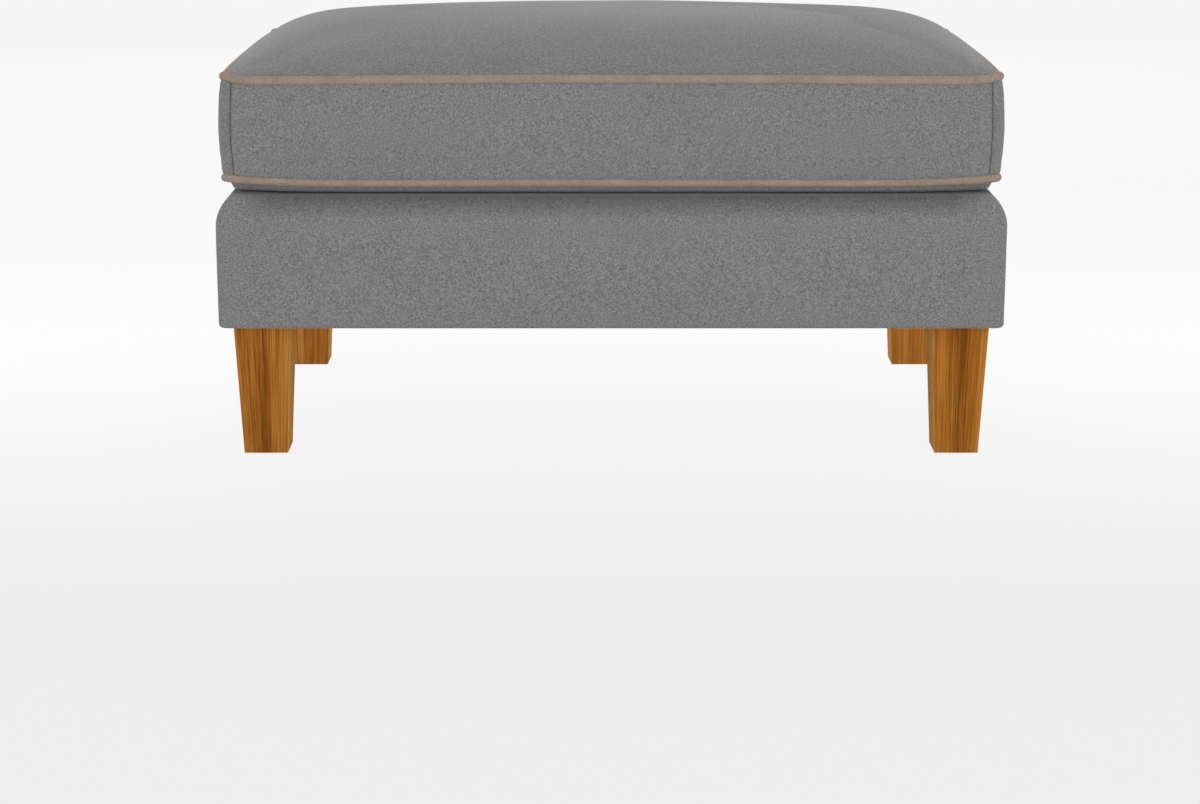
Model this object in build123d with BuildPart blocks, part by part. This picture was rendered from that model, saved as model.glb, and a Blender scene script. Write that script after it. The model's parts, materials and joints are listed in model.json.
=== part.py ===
"""Upholstered footstool: a padded box base on four tapered legs, with a loose piped box cushion.

Millimetres, +Z up, front towards -Y. The origin is on the floor, under the middle of the base.
"""

import os
from math import cos, radians, sin

from build123d import *

# Base, outside of its cover
base_width = 800
base_depth = 490
base_underside = 137
base_side_height = 104
base_corner_radius = 10
base_hem_radius = 4
base_edge_radius = 40
base_edge_angle = 53  # degrees of the top edge's arc that show before the cushion presses it flat

# Cloth and the room left between soft pieces
cloth = 1.3
soft_gap = 0.3

# Frame
side_padding = 8
deck_foam = 36
deck_thickness = 12
rail_thickness = 20
centre_rail_height = 60
block_size = 60
block_height = 60

# Underside
dust_cover_thickness = 0.6
dust_cover_inset = 12
hem_width = 30
staple_crown = 10
staple_wire = 0.7
staple_leg = 6
staple_inset = 6
staple_spacing = 62

# Legs
leg_top = 58
leg_foot = 45
leg_inset = 14
leg_easing = 1.5
glide_radius = 10
glide_height = 1.5
glide_nail_radius = 1.2
glide_nail_length = 12

# Fasteners
screw_radius = 2.2
screw_head_radius = 4.4
screw_head_depth = 2.6
screw_bite = 22
pilot_gap = 0.05
bolt_radius = 4
bolt_wood_radius = 3.6
bolt_wood_length = 34
insert_radius = 6
insert_length = 25

# Cushion, outside of its cloth at the seams
cushion_end_inset = 3  # from the base's left and right faces to the seams
cushion_front_inset = 21.5  # from the base's front and back faces to the seams
cushion_corner_radius = 17
cushion_side = 104.6  # between the two seams
cushion_bulge = 2.2
cushion_crown = 58
cushion_sag = 8.7  # from the lower seam to the flat that rests on the base
piping_radius = 4.5
piping_proud = 1.5
wrap_thickness = 14

# Zip in the back of the cushion
zip_end_room = 70  # from the zip's ends to the ends of the two strips that hold it
zip_slot = 13
zip_seam = 10
tape_thickness = 0.6
tape_overrun = 15
chain_width = 6
chain_thickness = 2.4
stop_length = 3
slider_length = 13
slider_wall = 1.4
slider_gap = 0.3
lug_length = 3.2
lug_thickness = 1.2
pull_length = 24
pull_width = 7
pull_thickness = 1.2
pull_gap = 0.25
pin_radius = 0.7
pin_gap = 0.05
pin_lift = 1.1  # from the slider's face to the pull's eye

# Outline of the crown: how far in from the seam as a share of half the depth, and how high as a share of the crown
crown_shares = ((0.02, 0.09), (0.05, 0.22), (0.14, 0.47), (0.31, 0.72), (0.5, 0.88), (0.68, 0.96), (0.85, 1.0))
# Outline under the lower seam: the same, as shares of the corner radius and of the sag
sag_shares = ((0.25, 0.55), (0.5, 0.8), (0.85, 0.94), (1.3, 1.0))

# Screws, as shares of the piece that they run along
block_screw_shares = (0.3, 0.75)
long_rail_screw_shares = (-0.36, -0.12, 0.12, 0.36)
short_rail_screw_shares = (-0.2, 0.2)
# Steps round the base's top edge, as shares of its arc
arc_shares = (0, 1 / 3, 2 / 3, 1)
# Upright outline of the sides: how high between the pipings, and how far out as a share of the bulge
bulge_shares = ((0, 0), (0.25, 0.75), (0.5, 1), (0.75, 0.75), (1, 0))
largest_corner_share = 0.49

# Places that follow from the sizes
base_side_top = base_underside + base_side_height
deck_top_cloth = base_side_top + base_edge_radius * sin(radians(base_edge_angle))
frame_bottom = base_underside + cloth
deck_top = deck_top_cloth - cloth - deck_foam
rail_top = deck_top - deck_thickness
rail_height = rail_top - frame_bottom
frame_width = base_width - 2 * (cloth + soft_gap + side_padding)
frame_depth = base_depth - 2 * (cloth + soft_gap + side_padding)
inner_width = frame_width - 2 * rail_thickness
inner_depth = frame_depth - 2 * rail_thickness
leg_x = base_width / 2 - leg_inset - leg_top / 2
leg_y = base_depth / 2 - leg_inset - leg_top / 2
leg_top_z = base_underside - dust_cover_thickness
block_x = inner_width / 2 - block_size / 2
block_y = inner_depth / 2 - block_size / 2
cushion_width = base_width - 2 * cushion_end_inset
cushion_depth = base_depth - 2 * cushion_front_inset
lower_seam = deck_top_cloth + cushion_sag
upper_seam = lower_seam + cushion_side
piping_x = cushion_width / 2 + piping_proud - piping_radius
piping_y = cushion_depth / 2 + piping_proud - piping_radius
corners = {
    "front_left": (-1, -1),
    "front_right": (1, -1),
    "back_left": (-1, 1),
    "back_right": (1, 1),
}

os.makedirs("parts", exist_ok=True)
pieces = []


def keep(part, name):
    """Label a finished piece and write it."""
    part.label = name
    pieces.append(part)
    export_step(part, f"parts/{name}.step")


def rounded(width, depth, radius):
    """A rounded rectangle whose corners are never larger than the rectangle allows."""
    return RectangleRounded(width, depth, min(radius, largest_corner_share * min(width, depth)))


# Base forms


def base_form(margin):
    """The padded base as one solid, drawn in by a margin on every side."""
    width = base_width - 2 * margin
    depth = base_depth - 2 * margin
    radius = base_corner_radius - margin
    arc_radius = base_edge_radius - margin
    with BuildPart() as form:
        with BuildSketch(Plane.XY.offset(base_underside + margin)):
            rounded(width, depth, radius)
        extrude(amount=base_side_height - margin)
        if base_hem_radius > margin:
            fillet(form.edges().group_by(Axis.Z)[0], base_hem_radius - margin)
        for arc_share in arc_shares:
            angle = radians(base_edge_angle * arc_share)
            inset = arc_radius * (1 - cos(angle))
            with BuildSketch(Plane.XY.offset(base_side_top + arc_radius * sin(angle))):
                rounded(width - 2 * inset, depth - 2 * inset, radius)
        loft()
    return form.part


cover_outside = base_form(0)
cover_inside = base_form(cloth)
padding_form = base_form(cloth + soft_gap)

with BuildPart() as base_cover:
    add(cover_outside)
    add(cover_inside, mode=Mode.SUBTRACT)
    with BuildSketch(Plane.XY.offset(base_underside)):
        Rectangle(base_width - 2 * hem_width, base_depth - 2 * hem_width)
    extrude(amount=cloth, mode=Mode.SUBTRACT)
keep(base_cover.part, "base_cover")

with BuildPart() as deck_foam_pad:
    add(padding_form)
    split(bisect_by=Plane.XY.offset(deck_top), keep=Keep.TOP)
keep(deck_foam_pad.part, "deck_foam")

# Strips of padding glued to the four rails: the front and back strips run past the side strips' ends
padding_height = deck_top - frame_bottom
padding_middle = (deck_top + frame_bottom) / 2
padding_y = frame_depth / 2 + side_padding
padding_x = (frame_width + side_padding) / 2
padding_boxes = {
    "front": ((0, -padding_y, padding_middle), (base_width, 2 * side_padding, padding_height)),
    "back": ((0, padding_y, padding_middle), (base_width, 2 * side_padding, padding_height)),
    "left": ((-padding_x, 0, padding_middle), (side_padding, frame_depth, padding_height)),
    "right": ((padding_x, 0, padding_middle), (side_padding, frame_depth, padding_height)),
}
for name, (centre, size) in padding_boxes.items():
    with BuildPart() as padding:
        add(padding_form)
        with Locations(centre):
            Box(*size, mode=Mode.INTERSECT)
    keep(padding.part, f"padding_{name}")

# Frame


def screw(through):
    """A countersunk screw along -Z with its head flush at the origin."""
    with BuildPart() as body:
        with BuildSketch(Plane.XZ):
            with BuildLine():
                Polyline(
                    (0, 0),
                    (screw_head_radius, 0),
                    (screw_radius, -screw_head_depth),
                    (screw_radius, -through - screw_bite + 2 * screw_radius),
                    (0, -through - screw_bite),
                    close=True,
                )
            make_face()
        revolve(axis=Axis.Z)
    return body.part


# Screw planes: origin on the outside of the wood, normal pointing out of it
frame_screw_planes = []
for side_x, side_y in corners.values():
    for height_share in block_screw_shares:
        screw_z = frame_bottom + height_share * block_height
        frame_screw_planes.append(Plane((side_x * block_x, side_y * frame_depth / 2, screw_z), z_dir=(0, side_y, 0)))
        frame_screw_planes.append(Plane((side_x * frame_width / 2, side_y * block_y, screw_z), z_dir=(side_x, 0, 0)))
for side_y in (-1, 1):
    for height_share in block_screw_shares:
        screw_z = rail_top - height_share * centre_rail_height
        frame_screw_planes.append(Plane((0, side_y * frame_depth / 2, screw_z), z_dir=(0, side_y, 0)))

deck_screw_spots = []
for side in (-1, 1):
    for along_share in long_rail_screw_shares:
        deck_screw_spots.append((along_share * frame_width, side * (frame_depth - rail_thickness) / 2))
    for along_share in short_rail_screw_shares:
        deck_screw_spots.append((side * (frame_width - rail_thickness) / 2, along_share * frame_depth))
    deck_screw_spots.append((0, side * inner_depth / 4))
deck_screw_planes = [Plane((x, y, deck_top), z_dir=(0, 0, 1)) for x, y in deck_screw_spots]


def screw_hole(through):
    """The room that one screw takes, a little wider than the screw."""
    depth = through + screw_bite + pilot_gap
    with BuildPart() as hole:
        with BuildSketch(Plane.XZ):
            with BuildLine():
                Polyline(
                    (0, pilot_gap),
                    (screw_head_radius + pilot_gap, pilot_gap),
                    (screw_head_radius + pilot_gap, 0),
                    (screw_radius + pilot_gap, -screw_head_depth),
                    (screw_radius + pilot_gap, -depth),
                    (0, -depth),
                    close=True,
                )
            make_face()
        revolve(axis=Axis.Z)
    return hole.part


frame_hole = screw_hole(rail_thickness)
deck_hole = screw_hole(deck_thickness)
all_holes = [plane * frame_hole for plane in frame_screw_planes] + [plane * deck_hole for plane in deck_screw_planes]


def near(hole, low, high):
    """True if a hole's box reaches into the box from low to high."""
    box = hole.bounding_box()
    return (
        box.min.X < high[0] and box.max.X > low[0]
        and box.min.Y < high[1] and box.max.Y > low[1]
        and box.min.Z < high[2] and box.max.Z > low[2]
    )


def timber(centre, size):
    """A squared piece of wood with the holes of every screw that reaches it."""
    low = [middle - length / 2 for middle, length in zip(centre, size)]
    high = [middle + length / 2 for middle, length in zip(centre, size)]
    with BuildPart() as wood:
        with Locations(centre):
            Box(*size)
        for hole in all_holes:
            if near(hole, low, high):
                add(hole, mode=Mode.SUBTRACT)
    return wood.part


rail_middle = frame_bottom + rail_height / 2
for name, side in (("front", -1), ("back", 1)):
    centre = (0, side * (frame_depth - rail_thickness) / 2, rail_middle)
    keep(timber(centre, (frame_width, rail_thickness, rail_height)), f"frame_{name}_rail")
for name, side in (("left", -1), ("right", 1)):
    centre = (side * (frame_width - rail_thickness) / 2, 0, rail_middle)
    keep(timber(centre, (rail_thickness, inner_depth, rail_height)), f"frame_{name}_rail")
centre_rail_z = rail_top - centre_rail_height / 2
keep(timber((0, 0, centre_rail_z), (rail_thickness, inner_depth, centre_rail_height)), "frame_centre_rail")
deck_middle = deck_top - deck_thickness / 2
keep(timber((0, 0, deck_middle), (frame_width, frame_depth, deck_thickness)), "deck_panel")

for name, (side_x, side_y) in corners.items():
    block = timber(
        (side_x * block_x, side_y * block_y, frame_bottom + block_height / 2),
        (block_size, block_size, block_height),
    )
    with BuildPart() as corner_block:
        add(block)
        with Locations((side_x * leg_x, side_y * leg_y, frame_bottom)):
            Cylinder(insert_radius + pilot_gap, 2 * insert_length, mode=Mode.SUBTRACT)
    keep(corner_block.part, f"corner_block_{name}")

frame_screw = screw(rail_thickness)
deck_screw = screw(deck_thickness)
with BuildPart() as frame_screws:
    for plane in frame_screw_planes:
        add(plane * frame_screw)
keep(frame_screws.part, "frame_screws")
with BuildPart() as deck_screws:
    for plane in deck_screw_planes:
        add(plane * deck_screw)
keep(deck_screws.part, "deck_screws")

# Underside: the dust cover and its staples
with BuildPart() as dust_cover:
    with BuildSketch(Plane.XY.offset(leg_top_z)):
        Rectangle(base_width - 2 * dust_cover_inset, base_depth - 2 * dust_cover_inset)
        with GridLocations(2 * leg_x, 2 * leg_y, 2, 2):
            Circle(bolt_radius + pilot_gap, mode=Mode.SUBTRACT)
    extrude(amount=dust_cover_thickness)
keep(dust_cover.part, "dust_cover")

staple_x = base_width / 2 - dust_cover_inset - staple_inset
staple_y = base_depth / 2 - dust_cover_inset - staple_inset
front_count = int(2 * (leg_x - leg_top) / staple_spacing) + 1
side_count = int(2 * (leg_y - leg_top) / staple_spacing) + 1
with BuildPart() as staple_form:
    with BuildSketch(Plane.XZ):
        with Locations((0, -staple_wire / 2)):
            Rectangle(staple_crown, staple_wire)
        with Locations(((staple_wire - staple_crown) / 2, 0), ((staple_crown - staple_wire) / 2, 0)):
            Rectangle(staple_wire, 2 * staple_leg)
        with Locations((0, -staple_wire - staple_leg)):
            Rectangle(2 * staple_crown, 2 * staple_leg, mode=Mode.SUBTRACT)
    extrude(amount=staple_wire / 2, both=True)
with BuildPart() as dust_cover_staples:
    for side in (-1, 1):
        for i in range(front_count):
            place = Location(((i - (front_count - 1) / 2) * staple_spacing, side * staple_y, leg_top_z))
            add(place * staple_form.part)
        for i in range(side_count):
            place = Location((side * staple_x, (i - (side_count - 1) / 2) * staple_spacing, leg_top_z), (0, 0, 90))
            add(place * staple_form.part)
keep(dust_cover_staples.part, "dust_cover_staples")

# Legs, with what joins them to the frame and what they stand on
for name, (side_x, side_y) in corners.items():
    with BuildPart() as leg:
        for height, size in ((glide_height, leg_foot), (leg_top_z, leg_top)):
            with BuildSketch(Plane((side_x * leg_x, side_y * leg_y, height))):
                rounded(size, size, leg_easing)
        loft()
        with Locations((side_x * leg_x, side_y * leg_y, leg_top_z)):
            Cylinder(bolt_wood_radius + pilot_gap, 2 * (bolt_wood_length + pilot_gap), mode=Mode.SUBTRACT)
        with Locations((side_x * leg_x, side_y * leg_y, glide_height)):
            Cylinder(glide_nail_radius + pilot_gap, 2 * (glide_nail_length + pilot_gap), mode=Mode.SUBTRACT)
    keep(leg.part, f"leg_{name}")

bolt_rise = cloth + dust_cover_thickness + insert_length
with BuildPart() as hanger_bolts:
    with GridLocations(2 * leg_x, 2 * leg_y, 2, 2):
        with Locations((0, 0, leg_top_z)):
            Cylinder(bolt_radius, bolt_rise, align=(Align.CENTER, Align.CENTER, Align.MIN))
            Cylinder(bolt_wood_radius, bolt_wood_length, align=(Align.CENTER, Align.CENTER, Align.MAX))
keep(hanger_bolts.part, "hanger_bolts")

with BuildPart() as leg_inserts:
    with BuildSketch(Plane.XY.offset(frame_bottom)):
        with GridLocations(2 * leg_x, 2 * leg_y, 2, 2):
            Circle(insert_radius)
            Circle(bolt_radius + pilot_gap, mode=Mode.SUBTRACT)
    extrude(amount=insert_length)
keep(leg_inserts.part, "leg_inserts")

with BuildPart() as leg_glides:
    with GridLocations(2 * leg_x, 2 * leg_y, 2, 2):
        Cylinder(glide_radius, glide_height, align=(Align.CENTER, Align.CENTER, Align.MIN))
        with Locations((0, 0, glide_height)):
            Cylinder(glide_nail_radius, glide_nail_length, align=(Align.CENTER, Align.CENTER, Align.MIN))
    fillet(leg_glides.edges().filter_by(GeomType.CIRCLE).group_by(Axis.Z)[0], glide_height / 3)
keep(leg_glides.part, "leg_glides")

# Cushion forms, each drawn in by a margin from the outside of the cloth
side_bottom = lower_seam + piping_radius + soft_gap
side_top = upper_seam - piping_radius - soft_gap
side_middle = (side_bottom + side_top) / 2


def cushion_ring(z, inset):
    """One rounded rectangle of the cushion, drawn in from its seam line."""
    with BuildSketch(Plane.XY.offset(z)) as ring:
        rounded(
            cushion_width - 2 * inset,
            cushion_depth - 2 * inset,
            max(cushion_corner_radius - inset, cushion_corner_radius / 3),
        )
    return ring.sketch


def crown_form(margin):
    """The crowned top, from just over the upper piping to its flat middle."""
    first_rise = crown_shares[0][1]
    with BuildPart() as form:
        for inset_share, rise_share in crown_shares:
            drop = margin * (rise_share - first_rise) / (1 - first_rise)
            z = upper_seam + rise_share * cushion_crown - drop
            add(cushion_ring(z, inset_share * cushion_depth / 2 + margin))
        loft()
    return form.part


def side_form(margin):
    """The upright sides, bulged between the two pipings."""
    with BuildPart() as form:
        for height_share, bulge_share in bulge_shares:
            z = side_bottom + height_share * (side_top - side_bottom)
            add(cushion_ring(z, margin - bulge_share * cushion_bulge))
        loft()
    return form.part


def sag_form(margin):
    """The underside, from just under the lower piping to the flat that rests on the base."""
    first_drop = sag_shares[0][1]
    with BuildPart() as form:
        for inset_share, drop_share in sag_shares:
            rise = margin * (drop_share - first_drop) / (1 - first_drop)
            z = lower_seam - drop_share * cushion_sag + rise
            add(cushion_ring(z, inset_share * cushion_corner_radius + margin))
        loft(ruled=True)
    return form.part


def slab(bottom, top, inset):
    """A level slab of the cushion's plan, such as the one inside each piping."""
    with BuildPart() as form:
        add(cushion_ring(bottom, inset))
        extrude(amount=top - bottom)
    return form.part


crown_bottom = upper_seam + crown_shares[0][1] * cushion_crown
sag_top = lower_seam - sag_shares[0][1] * cushion_sag
piping_room = cushion_width / 2 - (piping_x - piping_radius - soft_gap)
wrap_margin = cloth + soft_gap
core_margin = wrap_margin + wrap_thickness
crown_outside = crown_form(0)
crown_inside = crown_form(cloth)
side_outside = side_form(0)
side_inside = side_form(cloth)
sag_outside = sag_form(0)
sag_inside = sag_form(cloth)
wrap_forms = (
    crown_form(wrap_margin),
    slab(side_top, crown_bottom, piping_room),
    side_form(wrap_margin),
    slab(sag_top, side_bottom, piping_room),
    sag_form(wrap_margin),
)
core_forms = (
    crown_form(core_margin + soft_gap),
    slab(side_bottom, crown_bottom, core_margin + soft_gap),
)
hollow_forms = (
    crown_form(core_margin),
    slab(side_bottom, crown_bottom, core_margin),
)

# Zip places, on the middle line of the back
back_half = cushion_width / 2 - cushion_corner_radius
zip_length = 2 * (back_half - zip_end_room)
zip_face = cushion_depth / 2 + cushion_bulge
tape_front = zip_face - cloth - 2 * soft_gap
tape_back = tape_front - tape_thickness
tape_reach = zip_slot / 2 + zip_seam
tape_length = zip_length + 2 * tape_overrun
chain_middle = (tape_front + tape_back) / 2
chain_front = chain_middle + chain_thickness / 2
slider_face = chain_front + slider_gap + slider_wall
slider_half_width = chain_width / 2 + slider_gap + slider_wall
slider_x = zip_length / 2 - slider_length / 2 - slider_gap

with BuildPart() as cushion_core:
    for form in core_forms:
        add(form)
keep(cushion_core.part, "cushion_core")

with BuildPart() as cushion_wrap:
    for form in wrap_forms:
        add(form)
    for form in hollow_forms:
        add(form, mode=Mode.SUBTRACT)
    with Locations((0, chain_middle - chain_thickness / 2 - soft_gap, side_middle)):
        Box(
            tape_length + 2 * soft_gap,
            cushion_bulge + wrap_thickness,
            2 * (tape_reach + soft_gap),
            align=(Align.CENTER, Align.MIN, Align.CENTER),
            mode=Mode.SUBTRACT,
        )
keep(cushion_wrap.part, "cushion_wrap")

with BuildPart() as cushion_top_panel:
    add(crown_outside)
    add(crown_inside, mode=Mode.SUBTRACT)
keep(cushion_top_panel.part, "cushion_top_panel")

with BuildPart() as cushion_bottom_panel:
    add(sag_outside)
    add(sag_inside, mode=Mode.SUBTRACT)
keep(cushion_bottom_panel.part, "cushion_bottom_panel")

with BuildPart() as boxing_ring:
    add(side_outside)
    add(side_inside, mode=Mode.SUBTRACT)

with BuildPart() as cushion_boxing:
    add(boxing_ring.part)
    with Locations((0, 0, side_bottom)):
        Box(
            2 * back_half,
            cushion_depth,
            side_top - side_bottom,
            align=(Align.CENTER, Align.MIN, Align.MIN),
            mode=Mode.SUBTRACT,
        )
keep(cushion_boxing.part, "cushion_boxing")

# The back boxing is two strips, which part along the zip
for name, side in (("upper", 1), ("lower", -1)):
    with BuildPart() as back_strip:
        add(boxing_ring.part)
        with Locations((0, 0, side_middle + side * (side_top - side_bottom) / 4)):
            Box(
                2 * back_half,
                cushion_depth,
                (side_top - side_bottom) / 2,
                align=(Align.CENTER, Align.MIN, Align.CENTER),
                mode=Mode.INTERSECT,
            )
        with Locations((0, 0, side_middle)):
            Box(
                zip_length + 2 * stop_length,
                cushion_depth,
                zip_slot,
                align=(Align.CENTER, Align.MIN, Align.CENTER),
                mode=Mode.SUBTRACT,
            )
    keep(back_strip.part, f"back_boxing_{name}")

# Pipings, each one cord in a cloth sleeve round the whole cushion
piping_corner_radius = cushion_corner_radius - (cushion_width / 2 - piping_x)
for name, seam_z in (("top", upper_seam), ("bottom", lower_seam)):
    with BuildPart() as piping:
        with BuildLine():
            edge_path = FilletPolyline(
                (-piping_x, -piping_y, seam_z),
                (piping_x, -piping_y, seam_z),
                (piping_x, piping_y, seam_z),
                (-piping_x, piping_y, seam_z),
                radius=piping_corner_radius,
                close=True,
            )
        with BuildSketch(Plane(origin=edge_path @ 0, z_dir=edge_path % 0)):
            Circle(piping_radius)
        sweep()
    keep(piping.part, f"piping_{name}")

# Zip
with BuildPart() as zip_tapes:
    for side in (-1, 1):
        with Locations((0, chain_middle, side_middle + side * (chain_width / 2 + tape_reach) / 2)):
            Box(tape_length, tape_thickness, tape_reach - chain_width / 2)
keep(zip_tapes.part, "zip_tapes")

with BuildPart() as zip_chain:
    with Locations((0, chain_middle, side_middle)):
        Box(zip_length, chain_thickness, chain_width)
    fillet(zip_chain.edges().filter_by(Axis.X).group_by(Axis.Y)[-1], chain_thickness / 4)
keep(zip_chain.part, "zip_chain")

with BuildPart() as zip_stops:
    for side in (-1, 1):
        with Locations((side * (zip_length + stop_length) / 2, chain_middle, side_middle)):
            Box(stop_length, chain_thickness, chain_width)
keep(zip_stops.part, "zip_stops")

eye_radius = pin_radius + pin_gap + lug_thickness / 2
eye_length = pull_width / 2
pin_y = slider_face + pin_lift + eye_radius
lug_z = eye_length / 2 + pull_gap + lug_thickness / 2
with BuildPart() as zip_slider:
    with Locations((slider_x, slider_face, side_middle)):
        Box(
            slider_length,
            slider_face - tape_front - slider_gap,
            2 * slider_half_width,
            align=(Align.CENTER, Align.MAX, Align.CENTER),
        )
    fillet(zip_slider.edges().filter_by(Axis.Y), slider_wall)
    with Locations((slider_x, chain_front + slider_gap, side_middle)):
        Box(
            slider_length,
            chain_thickness,
            chain_width + 2 * slider_gap,
            align=(Align.CENTER, Align.MAX, Align.CENTER),
            mode=Mode.SUBTRACT,
        )
    for side in (-1, 1):
        with BuildSketch(Plane.XY.offset(side_middle + side * lug_z)):
            with Locations((slider_x, (slider_face + pin_y) / 2)):
                Rectangle(lug_length, pin_y - slider_face)
            with Locations((slider_x, pin_y)):
                Circle(lug_length / 2)
                Circle(pin_radius + pin_gap, mode=Mode.SUBTRACT)
        extrude(amount=lug_thickness / 2, both=True)
keep(zip_slider.part, "zip_slider")

with BuildPart() as zip_pull_pin:
    with Locations((slider_x, pin_y, side_middle)):
        Cylinder(pin_radius, 2 * (lug_z + lug_thickness / 2))
keep(zip_pull_pin.part, "zip_pull_pin")

neck_length = lug_length / 2 + pin_y - slider_face
with BuildPart() as zip_pull:
    with BuildSketch(Plane.XZ.offset(-pin_y)):
        with Locations((slider_x + neck_length / 2, side_middle)):
            Rectangle(neck_length, eye_length)
        with Locations((slider_x + (neck_length + pull_length) / 2, side_middle)):
            rounded(pull_length - neck_length, pull_width, pull_width / 3)
    extrude(amount=pull_thickness / 2, both=True)
    with Locations((slider_x, pin_y, side_middle)):
        Cylinder(eye_radius, eye_length)
        Cylinder(pin_radius + pin_gap, eye_length, mode=Mode.SUBTRACT)
keep(zip_pull.part, "zip_pull")

print(len(pieces), "pieces,", "top at", round(max(piece.bounding_box().max.Z for piece in pieces), 1))
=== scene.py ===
import json
from math import cos, exp, hypot, pi, radians, sin

import bmesh
import bpy
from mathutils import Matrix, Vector, noise
from mathutils.bvhtree import BVHTree
from mathutils.kdtree import KDTree


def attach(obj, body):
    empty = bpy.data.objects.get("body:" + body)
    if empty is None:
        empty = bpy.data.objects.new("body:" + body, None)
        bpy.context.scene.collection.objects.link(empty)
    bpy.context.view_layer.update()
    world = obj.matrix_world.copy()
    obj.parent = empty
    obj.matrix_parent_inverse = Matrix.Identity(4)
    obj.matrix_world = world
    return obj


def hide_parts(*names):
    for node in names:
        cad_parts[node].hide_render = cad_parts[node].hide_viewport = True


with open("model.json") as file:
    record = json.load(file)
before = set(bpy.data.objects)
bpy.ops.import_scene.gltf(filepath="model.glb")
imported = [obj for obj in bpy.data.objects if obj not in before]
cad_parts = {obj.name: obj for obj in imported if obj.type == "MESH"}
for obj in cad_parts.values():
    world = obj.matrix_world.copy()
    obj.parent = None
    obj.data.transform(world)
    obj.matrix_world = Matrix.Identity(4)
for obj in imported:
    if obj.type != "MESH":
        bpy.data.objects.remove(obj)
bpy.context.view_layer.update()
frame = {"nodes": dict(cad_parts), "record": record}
scene = bpy.context.scene
print("frame loaded:", len(frame["nodes"]), "nodes")

# Sizes are in millimetres and angles in degrees, but places and heights inside a material are in metres

# Camera and lamps

view = {
    "eye": (-11.6, -2830.2, 702.2), "pitchDown": 12.616, "lens": 78.15, "sensor": 36, "shiftY": -0.05,
    "farthest": 60000,
}
lamps = {
    "backLamp": {"place": (-300, 3200, 1600), "size": (2400, 1600), "power": 40, "target": (0, 0, 300)},
    "frontLamp": {"place": (300, -3000, 400), "size": (2600, 760), "power": 22.5, "target": (0, 0, 200)},
}


def toMetres(point):
    return tuple(value * 0.001 for value in point)


def newObject(name, data):
    made = bpy.data.objects.new(name, data)
    scene.collection.objects.link(made)
    return made


def softLamp(name, place, size, power, target):
    lamp = bpy.data.lights.new(name, "AREA")
    lamp.shape = "RECTANGLE"
    lamp.size, lamp.size_y = toMetres(size)
    lamp.energy = power
    holder = newObject(name, lamp)
    holder.location = toMetres(place)
    holder.rotation_euler = (Vector(toMetres(target)) - holder.location).to_track_quat("-Z", "Y").to_euler()
    holder.visible_camera = False


cameraData = bpy.data.cameras.new("viewCamera")
cameraData.lens = view["lens"]
cameraData.sensor_width = view["sensor"]
cameraData.shift_y = view["shiftY"]
cameraData.clip_end = view["farthest"] * 0.001
camera = newObject("viewCamera", cameraData)
camera.location = toMetres(view["eye"])
camera.rotation_euler = (radians(90 - view["pitchDown"]), 0, 0)
scene.camera = camera
scene.view_settings.view_transform = "Standard"

for name, values in lamps.items():
    softLamp(name, **values)


# Node helpers: a value that is a socket is linked, and any other is set


def wire(tree, kind, inputs=None, **settings):
    made = tree.nodes.new(kind)
    for key, value in settings.items():
        setattr(made, key, value)
    for key, value in (inputs or {}).items():
        if isinstance(value, bpy.types.NodeSocket):
            tree.links.new(value, made.inputs[key])
        else:
            made.inputs[key].default_value = value
    return made


def wired(tree, kind, inputs=None, **settings):
    return wire(tree, kind, inputs, **settings).outputs[0]


def sums(tree, operation, first, second=0.0, **settings):
    return wired(tree, "ShaderNodeMath", {0: first, 1: second}, operation=operation, **settings)


def vectors(tree, operation, first, second=(0, 0, 0)):
    return wired(tree, "ShaderNodeVectorMath", {0: first, 1: second}, operation=operation)


def parts(tree, vector):
    return wire(tree, "ShaderNodeSeparateXYZ", {0: vector}).outputs


def mixIn(tree, total, value, share, level=0.0):
    # Adds a share of how far value is above level
    if level:
        value = sums(tree, "SUBTRACT", value, level)
    return sums(tree, "ADD", total, sums(tree, "MULTIPLY", value, share))


def blendColour(tree, factor, first, second, way="MIX"):
    return wire(tree, "ShaderNodeMix", {0: factor, 6: first, 7: second}, data_type="RGBA", blend_type=way).outputs[2]


def rescale(tree, value, low, high, toLow=0, toHigh=1):
    inputs = {"Value": value, "From Min": low, "From Max": high, "To Min": toLow, "To Max": toHigh}
    return wired(tree, "ShaderNodeMapRange", inputs)


def patternSpace(tree, scale=(1, 1, 1), turn=(0, 0, 0), source="Object"):
    coordinates = wire(tree, "ShaderNodeTexCoord").outputs[source]
    return wired(tree, "ShaderNodeMapping", {"Vector": coordinates, "Scale": scale, "Rotation": turn})


def cloudy(tree, scale, detail=2, roughness=0.5, space=None, distortion=0):
    inputs = {"Scale": scale, "Detail": detail, "Roughness": roughness, "Distortion": distortion}
    inputs["Vector"] = patternSpace(tree) if space is None else space
    return wired(tree, "ShaderNodeTexNoise", inputs)


def cellular(tree, scale, randomness=1):
    return wired(tree, "ShaderNodeTexVoronoi", {"Vector": patternSpace(tree), "Scale": scale, "Randomness": randomness})


def bands(tree, space, spacing, direction="X", distortion=0, detailScale=1):
    # Blender's bands repeat every 2 pi / 20 of their scale along an axis, and 2 pi / 10 along the diagonal
    scale = 2 * pi / ((10 if direction == "DIAGONAL" else 20) * spacing * 0.001)
    inputs = {"Vector": space, "Scale": scale, "Distortion": distortion, "Detail": 1, "Detail Scale": detailScale}
    return wire(tree, "ShaderNodeTexWave", inputs, wave_type="BANDS", bands_direction=direction).outputs["Fac"]


def newFinish(name, surface):
    # surface gives the shader's own sockets
    material = bpy.data.materials.new(name)
    material.use_nodes = True
    shader = material.node_tree.nodes["Principled BSDF"]
    for key, value in surface.items():
        shader.inputs[key].default_value = value
    return material, material.node_tree, shader


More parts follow.
